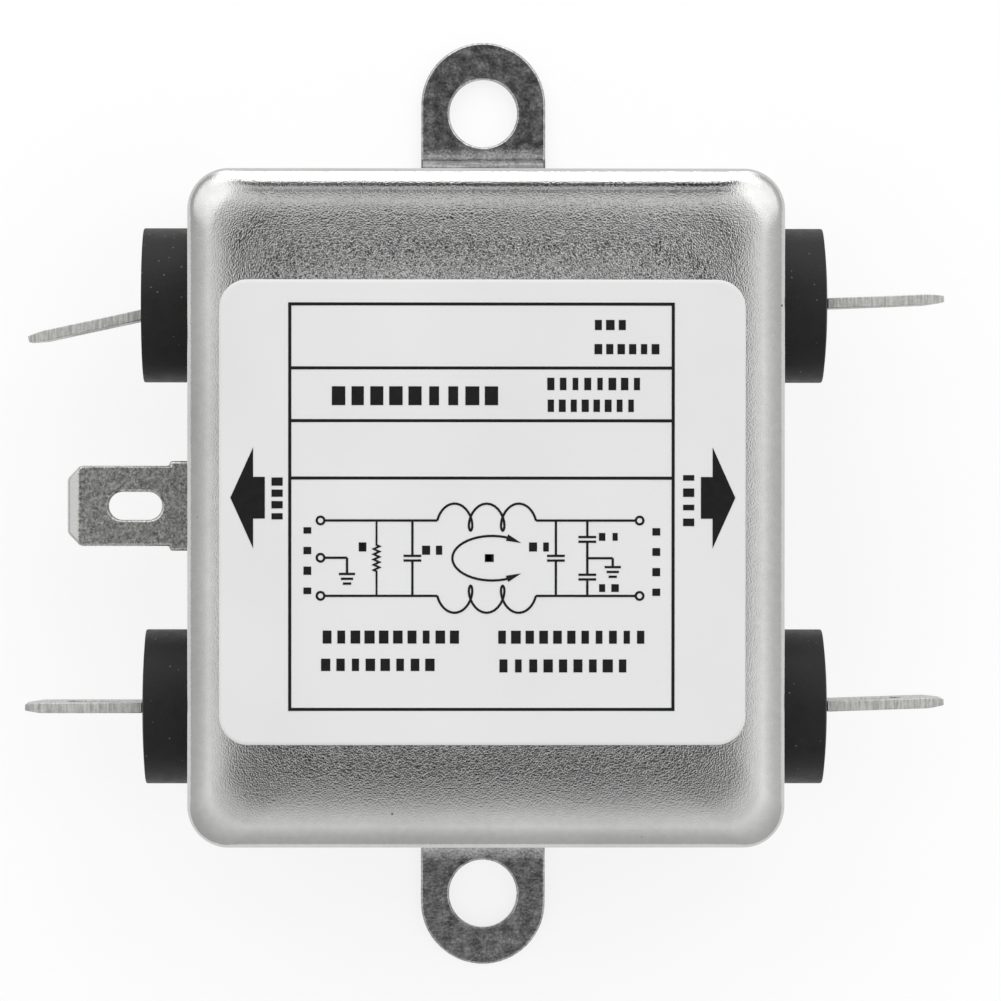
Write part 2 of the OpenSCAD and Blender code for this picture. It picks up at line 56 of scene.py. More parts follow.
def addNode(tree, kind, links=None, out=0, **settings):
    # Adds a node with its settings, a colour ramp's stops among them, and its inputs set or linked.
    # Gives the output asked for, or all of them for None
    node = tree.nodes.new(kind)
    stops = settings.pop("stops", None)
    if stops:
        elements = node.color_ramp.elements
        while len(elements) < len(stops):
            elements.new(0.5)
        for element, (place, value) in zip(elements, stops):
            element.position = place
            element.color = value if isinstance(value, list) else [value, value, value, 1]
    for name, value in settings.items():
        setattr(node, name, value)
    for socket, source in (links or {}).items():
        if isinstance(source, bpy.types.NodeSocket):
            tree.links.new(source, node.inputs[socket])
        else:
            node.inputs[socket].default_value = source
    if out is None or len(node.outputs) == 0:
        return node.outputs
    return node.outputs[out]


def newMaterial(name):
    material = bpy.data.materials.new(name)
    material.use_nodes = True
    material.node_tree.nodes.clear()
    return material, material.node_tree


def shade(tree, links):
    shader = addNode(tree, "ShaderNodeBsdfPrincipled", links)
    addNode(tree, "ShaderNodeOutputMaterial", {"Surface": shader})


def finish(obj, material, slotName, *replaced):
    obj.data.materials.clear()
    obj.data.materials.append(material)
    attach(obj, "root")
    if replaced:
        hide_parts(*replaced)
    return obj


def objectFrom(name, bm, smoothAngle=35):
    mesh = bpy.data.meshes.new(name)
    bm.to_mesh(mesh)
    bm.free()
    obj = bpy.data.objects.new(name, mesh)
    bpy.context.scene.collection.objects.link(obj)
    mesh.shade_smooth()
    mesh.set_sharp_from_angle(angle=math.radians(smoothAngle))
    return obj


def applied(obj, smoothAngle=35):
    # The evaluated result becomes the piece's own plain mesh, and its modifiers go
    bpy.context.view_layer.update()
    evaluated = obj.evaluated_get(bpy.context.evaluated_depsgraph_get())
    mesh = bpy.data.meshes.new_from_object(evaluated)
    old = obj.data
    obj.modifiers.clear()
    obj.data = mesh
    if old.users == 0 and isinstance(old, bpy.types.Mesh):
        bpy.data.meshes.remove(old)
    if smoothAngle:
        mesh.shade_smooth()
        mesh.set_sharp_from_angle(angle=math.radians(smoothAngle))
    return obj


def cutFrom(piece, cutter):
    cut = piece.modifiers.new("cut", "BOOLEAN")
    cut.operation = "DIFFERENCE"
    cut.solver = "EXACT"
    cut.object = cutter
    applied(piece)
    bpy.data.objects.remove(cutter)


def roundedRing(wide, long, radius, cornerSteps, sideSteps):
    # Points of a rounded rectangle with these half sizes, anticlockwise from its right side's upper end
    points = []
    corners = [(1, 1, 0), (-1, 1, 90), (-1, -1, 180), (1, -1, 270)]
    for index, (sx, sy, start) in enumerate(corners):
        cx, cy = sx * (wide - radius), sy * (long - radius)
        arc = [(cx + radius * math.cos(math.radians(start + 90 * i / cornerSteps)),
                cy + radius * math.sin(math.radians(start + 90 * i / cornerSteps)))
               for i in range(cornerSteps + 1)]
        points += arc
        nx, ny, nextStart = corners[(index + 1) % 4]
        end = (nx * (wide - radius) + radius * math.cos(math.radians(nextStart)),
               ny * (long - radius) + radius * math.sin(math.radians(nextStart)))
        points += [(arc[-1][0] + (end[0] - arc[-1][0]) * i / sideSteps,
                    arc[-1][1] + (end[1] - arc[-1][1]) * i / sideSteps) for i in range(1, sideSteps)]
    return points


def bridge(bm, ringA, ringB):
    count = len(ringA)
    for i in range(count):
        j = (i + 1) % count
        bm.faces.new((ringA[i], ringA[j], ringB[j], ringB[i]))


def softened(nodeName, name, widthMm, segments=2):
    # A copy of a CAD node with its stamped edges slightly broken
    bm = bmesh.new()
    bm.from_mesh(cadNodes[nodeName].data)
    bmesh.ops.remove_doubles(bm, verts=bm.verts, dist=0.0005 * mm)
    bmesh.ops.dissolve_limit(bm, angle_limit=math.radians(0.4), verts=bm.verts, edges=bm.edges)
    obj = objectFrom(name, bm)
    bevel = obj.modifiers.new("bevel", "BEVEL")
    bevel.width = widthMm * mm
    bevel.segments = segments
    bevel.limit_method = "ANGLE"
    bevel.angle_limit = math.radians(42)
    bevel.use_clamp_overlap = False
    weighted = obj.modifiers.new("weighted", "WEIGHTED_NORMAL")
    weighted.keep_sharp = True
    return applied(obj, None)


nickelForm = {
    "colours": ("#C0C0BF", "#CDCDCC"),
    "cloud": 9 * mm,             # broad changes of tone
    "stain": 0.6 * mm,           # and small ones
    "pinholes": 3.4 * mm,        # distance between them
    "smear": 1.6 * mm,
    "roughness": (0.09, 0.13),
    "grain": 0.125 * mm,
    "grainDepth": 0.03 * mm,
    "grainFall": 0.5 * mm,       # the fall of the face over which the grain weakens as given next
    "grainByFall": [(0.06, 1.0), (0.28, 0.72), (0.6, 0.36), (0.98, 0.25)],
    "grainAlong": [(0.08, 0.6), (0.2, 0.75), (0.35, 1.0)],   # from the lower ear's end to the upper's
    "scratch": 1.0 * mm,
    "scratchTurn": math.radians(17),
    "scratchDepth": 0.0015 * mm,
}


def nickelPlatedSteel(form):
    # Drawn steel, dull nickel over it: a clear but softly broken reflection, with the orange-peel
    # grain that drawing leaves, about 0.25 mm across, a few handling marks and pinholes
    material, tree = newMaterial("nickel plated drawn steel")
    place = addNode(tree, "ShaderNodeTexCoord", out="Object")
    cloud = addNode(tree, "ShaderNodeTexNoise", {"Vector": place, "Scale": 1 / form["cloud"], "Detail": 3})
    stain = addNode(tree, "ShaderNodeTexNoise", {"Vector": place, "Scale": 1 / form["stain"]})
    tone = addNode(tree, "ShaderNodeMix", {0: 0.4, 2: cloud, 3: stain})
    dark, light = form["colours"]
    colour = addNode(tree, "ShaderNodeValToRGB", {0: tone}, stops=[(0.3, linear(dark)), (0.7, linear(light))])
    pits = addNode(tree, "ShaderNodeTexVoronoi", {"Vector": place, "Scale": 1 / form["pinholes"]})
    pits = addNode(tree, "ShaderNodeValToRGB", {0: pits}, stops=[(0.022, 0.25), (0.036, 1.0)])
    colour = addNode(tree, "ShaderNodeMix", {0: 1.0, 6: colour, 7: pits}, out=2,
                     data_type="RGBA", blend_type="MULTIPLY")
    smear = addNode(tree, "ShaderNodeTexNoise", {"Vector": place, "Scale": 1 / form["smear"], "Detail": 4})
    smooth, dull = form["roughness"]
    roughness = addNode(tree, "ShaderNodeValToRGB", {0: smear}, stops=[(0.3, smooth), (0.7, dull)])
    # The drawn edges lie a little below the face, and there the grain is stretched smooth
    spot = addNode(tree, "ShaderNodeSeparateXYZ", {"Vector": place}, out=None)
    fall = addNode(tree, "ShaderNodeMapRange", {
        "Value": spot["Z"], "From Min": canTop, "From Max": canTop - form["grainFall"]})
    along = addNode(tree, "ShaderNodeMapRange", {"Value": spot["Y"], "From Min": -halfY, "From Max": halfY})
    byFall = addNode(tree, "ShaderNodeValToRGB", {0: fall}, stops=form["grainByFall"])
    byPlace = addNode(tree, "ShaderNodeValToRGB", {0: along}, stops=form["grainAlong"])
    share = addNode(tree, "ShaderNodeMath", {0: byFall, 1: byPlace}, operation="MULTIPLY")
    drawn = addNode(tree, "ShaderNodeMapping", {"Vector": place, "Scale": (1.15, 1.0, 1.0)})
    grain = addNode(tree, "ShaderNodeTexNoise", {
        "Vector": drawn, "Scale": 1 / form["grain"], "Detail": 0.4, "Roughness": 0.4})
    grain = addNode(tree, "ShaderNodeMath", {0: grain, 1: 0.5}, operation="SUBTRACT")
    grain = addNode(tree, "ShaderNodeMath", {0: grain, 1: share}, operation="MULTIPLY")
    normal = addNode(tree, "ShaderNodeBump", {"Height": grain, "Distance": form["grainDepth"]})
    wiped = addNode(tree, "ShaderNodeMapping", {
        "Vector": place, "Rotation": (0, 0, form["scratchTurn"]), "Scale": (0.12, 2.2, 1)})
    scratches = addNode(tree, "ShaderNodeTexNoise", {"Vector": wiped, "Scale": 1 / form["scratch"]})
    scratches = addNode(tree, "ShaderNodeValToRGB", {0: scratches}, stops=[(0.70, 0.0), (0.735, 1.0)])
    normal = addNode(tree, "ShaderNodeBump", {
        "Height": scratches, "Distance": form["scratchDepth"], "Normal": normal})
    shade(tree, {"Base Color": colour, "Metallic": 1.0, "Roughness": roughness, "Normal": normal})
    return material


plateForm = {
    "colours": ("#8C8C8C", "#C6C6C6"),
    "blotch": 1.0 * mm,
    "speckle": 0.2 * mm,
    "roughness": 0.2,
    "grain": 0.25 * mm,
    "grainDepth": 0.012 * mm,
    "bend": (halfY + 1.25 * mm, halfY + 3 * mm),   # both ears, measured from the middle
    "bendFall": 0.2 * mm,
    "stretchLines": 0.2 * mm,
    # painted shade for the bend's root, next to the can
    "paintedShade": "#2E2E2E",
}

groundForm = {
    "colours": ("#8E8E8C", "#D2D2D0"),
    "blotch": 0.26 * mm,
    "speckle": 0.14 * mm,
    "roughness": 0.26,
    "grain": 0.16 * mm,
    "grainDepth": 0.016 * mm,
    "tip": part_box("ground_tab")[0][0] + 0.8 * mm,   # beyond this the tip is painted lighter: a painted highlight on its bevel
    "paintedTipHighlight": "#CCCCCA",
}


def stretchedBend(tree, place, y, form, colour, normal):
    # Where the sheet is bent its face goes on curving towards the can, and near the can it is darkened in
    # stretch lines: painted shade that dims its reflection
    near, far = form["bend"]
    along = addNode(tree, "ShaderNodeMath", {0: y}, operation="ABSOLUTE")
    run = addNode(tree, "ShaderNodeMapRange", {"Value": along, "From Min": near, "From Max": far})
    fall = addNode(tree, "ShaderNodeValToRGB", {0: run},
                   stops=[(i / 12, (1 - i / 12) ** 2) for i in range(13)])
    drawn = addNode(tree, "ShaderNodeMapping", {"Vector": place, "Scale": (0.05, 1.0, 1.0)})
    lines = addNode(tree, "ShaderNodeTexNoise", {"Vector": drawn, "Scale": 1 / form["stretchLines"]})
    lines = addNode(tree, "ShaderNodeValToRGB", {0: lines}, stops=[(0.36, 0.76), (0.62, 1.0)])
    # Painted shade: near the can the bend's colour is darkened, broken up by the stretch lines
    paintedShade = addNode(tree, "ShaderNodeValToRGB", {0: run},
                   stops=[(0.0, 0.8), (0.33, 0.78), (0.36, 0.14), (1.0, 0.0)])
    paintedShade = addNode(tree, "ShaderNodeMath", {0: lines, 1: paintedShade}, operation="MULTIPLY")
    colour = addNode(tree, "ShaderNodeMix", {0: paintedShade, 6: colour, 7: linear(form["paintedShade"])}, out=2,
                     data_type="RGBA")
    normal = addNode(tree, "ShaderNodeBump", {"Height": fall, "Distance": form["bendFall"], "Normal": normal})
    return colour, normal


def dullPlate(name, form):
    # Plated sheet that was punched and not polished: blotches, fine speckle and a dull reflection
    material, tree = newMaterial(name)
    place = addNode(tree, "ShaderNodeTexCoord", out="Object")
    spot = addNode(tree, "ShaderNodeSeparateXYZ", {"Vector": place}, out=None)
    blotch = addNode(tree, "ShaderNodeTexNoise", {
        "Vector": place, "Scale": 1 / form["blotch"], "Detail": 4, "Roughness": 0.65})
    speckle = addNode(tree, "ShaderNodeTexNoise", {"Vector": place, "Scale": 1 / form["speckle"]})
    tone = addNode(tree, "ShaderNodeMix", {0: 0.5, 2: blotch, 3: speckle})
    dark, light = form["colours"]
    colour = addNode(tree, "ShaderNodeValToRGB", {0: tone},
                     stops=[(0.38, linear(dark)), (0.6, linear(light))])
    grain = addNode(tree, "ShaderNodeTexNoise", {"Vector": place, "Scale": 1 / form["grain"]})
    normal = addNode(tree, "ShaderNodeBump", {"Height": grain, "Distance": form["grainDepth"]})
    if "bend" in form:
        colour, normal = stretchedBend(tree, place, spot["Y"], form, colour, normal)
    if "tip" in form:
        # Painted highlight: beyond the tip's start the colour is lighter, where the bevel catches the light
        tip = addNode(tree, "ShaderNodeMath", {0: spot["X"], 1: form["tip"]}, operation="LESS_THAN")
        colour = addNode(tree, "ShaderNodeMix", {0: tip, 6: colour, 7: linear(form["paintedTipHighlight"])}, out=2,
                         data_type="RGBA")
    roughness = addNode(tree, "ShaderNodeValToRGB", {0: blotch},
                        stops=[(0.3, form["roughness"] - 0.05), (0.7, form["roughness"] + 0.06)])
    shade(tree, {"Base Color": colour, "Metallic": 1.0, "Roughness": roughness, "Normal": normal})
    return material


tinForm = {
    "colours": ("#AAAAA8", "#D2D2CF"),
    "speckle": 0.2 * mm,
    "lines": 0.15 * mm,
    "lineDepth": 0.02 * mm,
    "roughness": (0.46, 0.58),
}


def shearedTin(form):
    # Tin-plated brass blade: dull faces, and fine lines across the edges where it was sheared
    material, tree = newMaterial("tin plated brass")
    place = addNode(tree, "ShaderNodeTexCoord", out="Object")
    speckle = addNode(tree, "ShaderNodeTexNoise", {
        "Vector": place, "Scale": 1 / form["speckle"], "Roughness": 0.6})
    sheared = addNode(tree, "ShaderNodeMapping", {"Vector": place, "Scale": (1.0, 0.1, 0.1)})
    lines = addNode(tree, "ShaderNodeTexNoise", {"Vector": sheared, "Scale": 1 / form["lines"], "Detail": 1})
    tone = addNode(tree, "ShaderNodeMix", {0: 0.65, 2: speckle, 3: lines})
    dark, light = form["colours"]
    colour = addNode(tree, "ShaderNodeValToRGB", {0: tone},
                     stops=[(0.34, linear(dark)), (0.62, linear(light))])
    smooth, dull = form["roughness"]
    roughness = addNode(tree, "ShaderNodeValToRGB", {0: speckle}, stops=[(0.3, smooth), (0.7, dull)])
    normal = addNode(tree, "ShaderNodeBump", {"Height": lines, "Distance": form["lineDepth"]})
    shade(tree, {"Base Color": colour, "Metallic": 1.0, "Roughness": roughness, "Normal": normal})
    return material


thermosetForm = {
    "colours": ("#161616", "#222222"),
    "dust": "#6A6A68",
    "mottle": 1.1 * mm,
    "dustGap": 0.8 * mm,
    "grain": 0.3 * mm,
    "grainDepth": 0.02 * mm,
    "roughness": (0.42, 0.58),
}


def blackThermoset(form):
    # Turned black thermoset: near black, half dull, a little pale dust in its pores
    material, tree = newMaterial("black thermoset plastic")
    place = addNode(tree, "ShaderNodeTexCoord", out="Object")
    mottle = addNode(tree, "ShaderNodeTexNoise", {
        "Vector": place, "Scale": 1 / form["mottle"], "Detail": 4, "Roughness": 0.6})
    dark, light = form["colours"]
    colour = addNode(tree, "ShaderNodeValToRGB", {0: mottle},
                     stops=[(0.3, linear(dark)), (0.72, linear(light))])
    dust = addNode(tree, "ShaderNodeTexVoronoi", {"Vector": place, "Scale": 1 / form["dustGap"]})
    dust = addNode(tree, "ShaderNodeValToRGB", {0: dust}, stops=[(0.06, 0.8), (0.11, 0.0)])
    colour = addNode(tree, "ShaderNodeMix", {0: dust, 6: colour, 7: linear(form["dust"])}, out=2,
                     data_type="RGBA")
    smooth, dull = form["roughness"]
    roughness = addNode(tree, "ShaderNodeValToRGB", {0: mottle}, stops=[(0.3, smooth), (0.7, dull)])
    grain = addNode(tree, "ShaderNodeTexNoise", {"Vector": place, "Scale": 1 / form["grain"], "Detail": 3})
    normal = addNode(tree, "ShaderNodeBump", {"Height": grain, "Distance": form["grainDepth"]})
    shade(tree, {"Base Color": colour, "Roughness": roughness, "Specular IOR Level": 0.25, "Normal": normal})
    return material


filmForm = {
    "colours": ("#E4E4E4", "#E9E9E9"),
    "cloud": 14 * mm,
    "press": 1.8 * mm,
    "pressDepth": 0.006 * mm,
}


def labelFilm(form):
    # Matt white film: smooth and pale, and faintly uneven where it was pressed on
    material, tree = newMaterial("matt white film")
    place = addNode(tree, "ShaderNodeTexCoord", out="Object")
    cloud = addNode(tree, "ShaderNodeTexNoise", {"Vector": place, "Scale": 1 / form["cloud"], "Detail": 3})
    dark, light = form["colours"]
    colour = addNode(tree, "ShaderNodeValToRGB", {0: cloud},
                     stops=[(0.3, linear(dark)), (0.7, linear(light))])
    press = addNode(tree, "ShaderNodeTexNoise", {"Vector": place, "Scale": 1 / form["press"], "Detail": 3})
    normal = addNode(tree, "ShaderNodeBump", {"Height": press, "Distance": form["pressDepth"]})
    shade(tree, {"Base Color": colour, "Roughness": 0.5, "Normal": normal})
    return material


inkForm = {"colours": ("#0C0C0D", "#161618"), "cloud": 0.5 * mm}


def printingInk(form):
    # Dense black screen ink: even, a touch grey where it is thin
    material, tree = newMaterial("black printing ink")
    place = addNode(tree, "ShaderNodeTexCoord", out="Object")
    cloud = addNode(tree, "ShaderNodeTexNoise", {"Vector": place, "Scale": 1 / form["cloud"], "Detail": 3})
    dark, light = form["colours"]
    colour = addNode(tree, "ShaderNodeValToRGB", {0: cloud},
                     stops=[(0.3, linear(dark)), (0.75, linear(light))])
    shade(tree, {"Base Color": colour, "Roughness": 0.55, "Specular IOR Level": 0.2})
    return material


def innerStuff(name, form):
    # For the pieces inside: a mottled colour and a fine grain of the right size
    material, tree = newMaterial(name)
    place = addNode(tree, "ShaderNodeTexCoord", out="Object")
    grain = addNode(tree, "ShaderNodeTexNoise", {"Vector": place, "Scale": 1 / form["grain"], "Detail": 3})
    dark, light = form["colours"]
    colour = addNode(tree, "ShaderNodeValToRGB", {0: grain},
                     stops=[(0.3, linear(dark)), (0.7, linear(light))])
    normal = addNode(tree, "ShaderNodeBump", {"Height": grain, "Distance": form["depth"]})
    shade(tree, {"Base Color": colour, "Metallic": form.get("metallic", 0.0), "Roughness": form["roughness"],
                 "Normal": normal})
    return material


nickel = nickelPlatedSteel(nickelForm)
plateSteel = dullPlate("dull plated steel", plateForm)
groundPlating = dullPlate("dull tin plated steel", groundForm)
tin = shearedTin(tinForm)
thermoset = blackThermoset(thermosetForm)
film = labelFilm(filmForm)
ink = printingInk(inkForm)
print("materials made")

canForm = {
    "wall": 0.6 * mm,
    "cornerRadius": 3.2 * mm,
    "edge": (1.9 * mm, 0.95 * mm),    # half axes of the edge's quarter ellipse, across and down
    "edgeSteps": 16,
    "crown": 0.38 * mm,               # how far the face falls towards its edges
    "crownFade": 2.2 * mm,            # the distance in which that fall fades out
    "faceStart": 2.07 * mm,           # where the fall turns straight, towards the outside
    "faceInsets": (2.1, 2.35, 2.65, 3, 3.5, 4.1, 4.8, 5.6, 6.6, 7.8, 9.4, 12, 16, 20, 22.4),
    "cornerSwell": 5.0 * mm,          # how much rounder the corners get towards the middle
    "swellFade": 3 * mm,
    "cornerSteps": 16,
    "sideSteps": 22,
    "leastFlat": 0.1 * mm,            # half of what a ring keeps straight between its corners
    "bore": 8.2 * mm,
    "notchWidth": 10.5 * mm,
    "notchTop": 1.7 * mm,
    "slot": (7.2 * mm, 1.15 * mm),    # wide and high, for the ground blade
    "slotPlay": 0.1 * mm,             # above the blade
    "cutReach": 3 * mm,               # how far the cutters go each way from the wall's skin
    "lipReach": 1.5 * mm,
    "lipEdge": 0.08 * mm,
    "sideLip": 40 * mm,
    "relief": 1.2 * mm,               # between an ear's notch and the lip beside it
}


def cornerAt(inset):
    swell = canForm["cornerSwell"] * (1 - math.exp(-inset / canForm["swellFade"]))
    return max(canForm["cornerRadius"] - inset, 0) + swell


def insetAt(x, y):
    # The inset of the can's ring that passes through a point
    low, high = 0.0, canForm["faceInsets"][-1] * mm
    for _ in range(16):
        inset = (low + high) / 2
        r = min(cornerAt(inset), halfX - inset, halfY - inset)
        qx, qy = abs(x) - (halfX - inset - r), abs(y) - (halfY - inset - r)
        outside = math.hypot(max(qx, 0), max(qy, 0)) + min(max(qx, qy), 0) - r
        low, high = (inset, high) if outside < 0 else (low, inset)
    return low


def crownFall(inset):
    # How far the skin lies below the middle of the face
    start, fade, fall = canForm["faceStart"], canForm["crownFade"], canForm["crown"]
    if inset >= start:
        return fall * math.exp((start - inset) / fade)
    across, down = canForm["edge"]
    rest = max(1 - inset / across, 0)
    return fall * (1 + (start - inset) / fade) + down * (1 - math.sqrt(1 - rest * rest))


def canProfile(shift):
    # (inset, height) from the rim to the middle of the face, for the skin that lies shift inside
    top = canTop - crownFall(0)
    rim = canForm["wall"]
    profile = [(shift, rim + h * (top - rim)) for h in (0, 0.03, 0.3, 0.7, 0.96)]
    for i in range(canForm["edgeSteps"] + 1):
        a = math.pi / 2 * i / canForm["edgeSteps"]
        inset = canForm["edge"][0] * (1 - math.cos(a))
        profile.append((inset + shift * math.cos(a), canTop - crownFall(inset) - shift * math.sin(a)))
    for inset in canForm["faceInsets"]:
        profile.append((inset * mm, canTop - crownFall(inset * mm) - shift))
    return profile


def canRings(bm, shift):
    rings = []
    flat = canForm["leastFlat"]
    for inset, z in canProfile(shift):
        radius = min(cornerAt(inset), halfX - inset - flat, halfY - inset - flat)
        ring = roundedRing(halfX - inset, halfY - inset, radius, canForm["cornerSteps"], canForm["sideSteps"])
        rings.append([bm.verts.new((x, y, z)) for x, y in ring])
    return rings


def boxInto(bm, low, high):
    corners = [bm.verts.new((x, y, z)) for z in (low[2], high[2]) for y in (low[1], high[1])
               for x in (low[0], high[0])]
    for a, b, c, d in ((0, 2, 3, 1), (4, 5, 7, 6), (0, 1, 5, 4), (2, 6, 7, 3), (0, 4, 6, 2), (1, 3, 7, 5)):
        bm.faces.new((corners[a], corners[b], corners[c], corners[d]))


def lipInto(bm, middle, angle, length):
    # A crimped lip: the wall turned under the plate, along X before it is turned by angle
    wall, reach, edge = canForm["wall"], canForm["lipReach"], canForm["lipEdge"]
    section = [(-reach, wall), (-reach, edge), (-reach + edge, 0)]
    section += [(wall * math.sin(math.radians(15 * i)), wall - wall * math.cos(math.radians(15 * i)))
                for i in range(7)]
    turn = Matrix.Translation(middle) @ Matrix.Rotation(angle, 4, "Z")
    ends = [[bm.verts.new(turn @ Vector((x, y, z))) for y, z in section] for x in (-length / 2, length / 2)]
    for i in range(len(section)):
        j = (i + 1) % len(section)
        bm.faces.new((ends[0][i], ends[1][i], ends[1][j], ends[0][j]))
    bm.faces.new(ends[0])
    bm.faces.new(ends[1][::-1])


def canCutters():
    # Round bores for the bushings, a slot for the ground blade and a notch for each ear
    bm = bmesh.new()
    reach = canForm["cutReach"]
    for side, row in ((-1, "line"), (1, "load")):
        for level in ("upper", "lower"):
            low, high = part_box(f"{row}_washer_{level}")
            middle = (side * halfX, (low[1] + high[1]) / 2, (low[2] + high[2]) / 2)
            place = Matrix.Translation(middle) @ Matrix.Rotation(math.pi / 2, 4, "Y")
            bmesh.ops.create_cone(bm, cap_ends=True, segments=64, radius1=canForm["bore"] / 2,
                                  radius2=canForm["bore"] / 2, depth=2 * reach, matrix=place)
    slotWide, slotHigh = canForm["slot"]
    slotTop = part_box("ground_tab")[1][2] + canForm["slotPlay"]
    boxInto(bm, (-halfX - reach, -slotWide / 2, slotTop - slotHigh), (-halfX + reach, slotWide / 2, slotTop))
    halfNotch = canForm["notchWidth"] / 2
    for end in (-1, 1):
        near, far = sorted((end * (halfY - reach), end * (halfY + reach)))
        boxInto(bm, (-halfNotch, near, -reach), (halfNotch, far, canForm["notchTop"]))
    bmesh.ops.recalc_face_normals(bm, faces=bm.faces)
    return objectFrom("cutters", bm)


def makeCan():
    bm = bmesh.new()
    outer = canRings(bm, 0)
    inner = canRings(bm, canForm["wall"])
    for a, b in zip(outer, outer[1:]):
        bridge(bm, a, b)
    for a, b in zip(inner, inner[1:]):
        bridge(bm, b, a)
    bridge(bm, inner[0], outer[0])
    bm.faces.new(outer[-1])
    bm.faces.new(inner[-1][::-1])
    bmesh.ops.recalc_face_normals(bm, faces=bm.faces)
    can = objectFrom("canShell", bm)
    cutFrom(can, canCutters())
    bm = bmesh.new()
    bm.from_mesh(can.data)
    innerX, innerY = halfX - canForm["wall"], halfY - canForm["wall"]
    for side, angle in ((1, -90), (-1, 90)):
        lipInto(bm, (side * innerX, 0, 0), math.radians(angle), canForm["sideLip"])
    startX = canForm["notchWidth"] / 2 + canForm["relief"]
    endLip = innerX - canForm["cornerRadius"] - startX
    for side in (-1, 1):
        for end, angle in ((1, 0), (-1, 180)):
            lipInto(bm, (side * (startX + endLip / 2), end * innerY, 0), math.radians(angle), endLip)
    bm.to_mesh(can.data)
    bm.free()
    can.data.shade_smooth()
    can.data.set_sharp_from_angle(angle=math.radians(35))
    return finish(can, nickel, "nickel_plated_can", "case_can")


makeCan()
print("can made")

labelLow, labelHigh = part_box("label")
labelX, labelY = (labelLow[0] + labelHigh[0]) / 2, (labelLow[1] + labelHigh[1]) / 2
labelForm = {
    "thickness": labelHigh[2] - labelLow[2],
    "radius": 2.2 * mm,
    "edge": 0.04 * mm,
    "insets": (0.04, 0.3, 0.8, 1.5, 2.4, 3.6, 5.2, 7.5, 10.5, 14, 17.4),   # in millimetres
    "leastRadius": 0.2 * mm,
    "steps": (10, 18),     # round a corner and along a side
}


def faceHeight(x, y):
    return canTop - crownFall(insetAt(x, y))


def makeLabel():
    wide, long = (labelHigh[0] - labelLow[0]) / 2, (labelHigh[1] - labelLow[1]) / 2
    bm = bmesh.new()

    def ringAt(inset, lift):
        radius = max(labelForm["radius"] - inset, labelForm["leastRadius"])
        ring = roundedRing(wide - inset, long - inset, radius, *labelForm["steps"])
        ring = [(labelX + x, labelY + y) for x, y in ring]
        return [bm.verts.new((x, y, faceHeight(x, y) + lift)) for x, y in ring]

    foot = ringAt(0, 0)
    rings = [ringAt(0, labelForm["thickness"] - labelForm["edge"])]
    rings += [ringAt(inset * mm, labelForm["thickness"]) for inset in labelForm["insets"]]
    bridge(bm, foot, rings[0])
    for a, b in zip(rings, rings[1:]):
        bridge(bm, a, b)
    bm.faces.new(rings[-1])
    backs = [foot] + [ringAt(inset * mm, 0) for inset in labelForm["insets"][1:]]
    for a, b in zip(backs, backs[1:]):
        bridge(bm, b, a)
    bm.faces.new(backs[-1][::-1])
    bmesh.ops.recalc_face_normals(bm, faces=bm.faces)
    return finish(objectFrom("labelSheet", bm, 60), film, "label_film", "label")


def makePrint():
    # The printed lines follow the label over the crowned face
    bm = bmesh.new()
    bm.from_mesh(cadNodes["label_print"].data)
    bmesh.ops.remove_doubles(bm, verts=bm.verts, dist=0.0005 * mm)
    for vert in bm.verts:
        vert.co.z += faceHeight(vert.co.x, vert.co.y) - canTop
    return finish(objectFrom("labelInk", bm), ink, "printing_ink", "label_print")


makeLabel()
makePrint()
print("label made")

# Plain bars stand in the places of words. Each row: start and end of its middle line from the
# label's middle, and the bars' height. All sizes in wordRows are in millimetres
wordRows = {
    "largeWords": {"pitch": 1.42, "gap": 0.34, "seed": 3, "rows": [
        ((-11.6, 8.94), (1.25, 8.94), 1.45)]},
    "smallWords": {"pitch": 0.86, "gap": 0.2, "seed": 5, "rows": [
        ((8.53, 14.37), (11.05, 14.37), 0.78), ((8.53, 12.52), (13.6, 12.52), 0.78),
        ((4.89, 9.85), (12.18, 9.85), 0.95), ((4.89, 8.18), (11.73, 8.18), 0.95),
        ((-15.74, 2.7), (-15.74, -0.65), 0.86), ((15.81, -1.1), (15.81, 3.0), 0.86)]},
    "lowerWords": {"pitch": 1.06, "gap": 0.26, "seed": 11, "rows": [
        ((-12.33, -9.56), (-1.72, -9.56), 1.0), ((-12.44, -11.69), (-3.6, -11.69), 0.95),
        ((1.08, -9.57), (12.56, -9.57), 1.0), ((1.19, -11.77), (11.18, -11.77), 1.0)]},
    "signMarks": {"pitch": 0.82, "gap": 0.2, "seed": 8, "rows": [
        ((-9.6, -2.65), (-8.8, -2.65), 0.7), ((-4.65, -2.9), (-3.0, -2.9), 0.7),
        ((0.1, -3.5), (0.9, -3.5), 0.6), ((3.55, -2.65), (5.2, -2.65), 0.7),
        ((8.85, -1.87), (10.5, -1.87), 0.6), ((8.85, -5.8), (10.5, -5.8), 0.6)]},
    "sideMarks": {"pitch": 1.46, "gap": 0.75, "seed": 2, "rows": [
        ((-13.42, -0.8), (-13.42, -6.6), 0.6), ((13.33, -0.9), (13.33, -6.7), 0.6)]},
}
barThickness = 0.02 * mm
barLift = 0.01 * mm     # of the bars' middle over the film


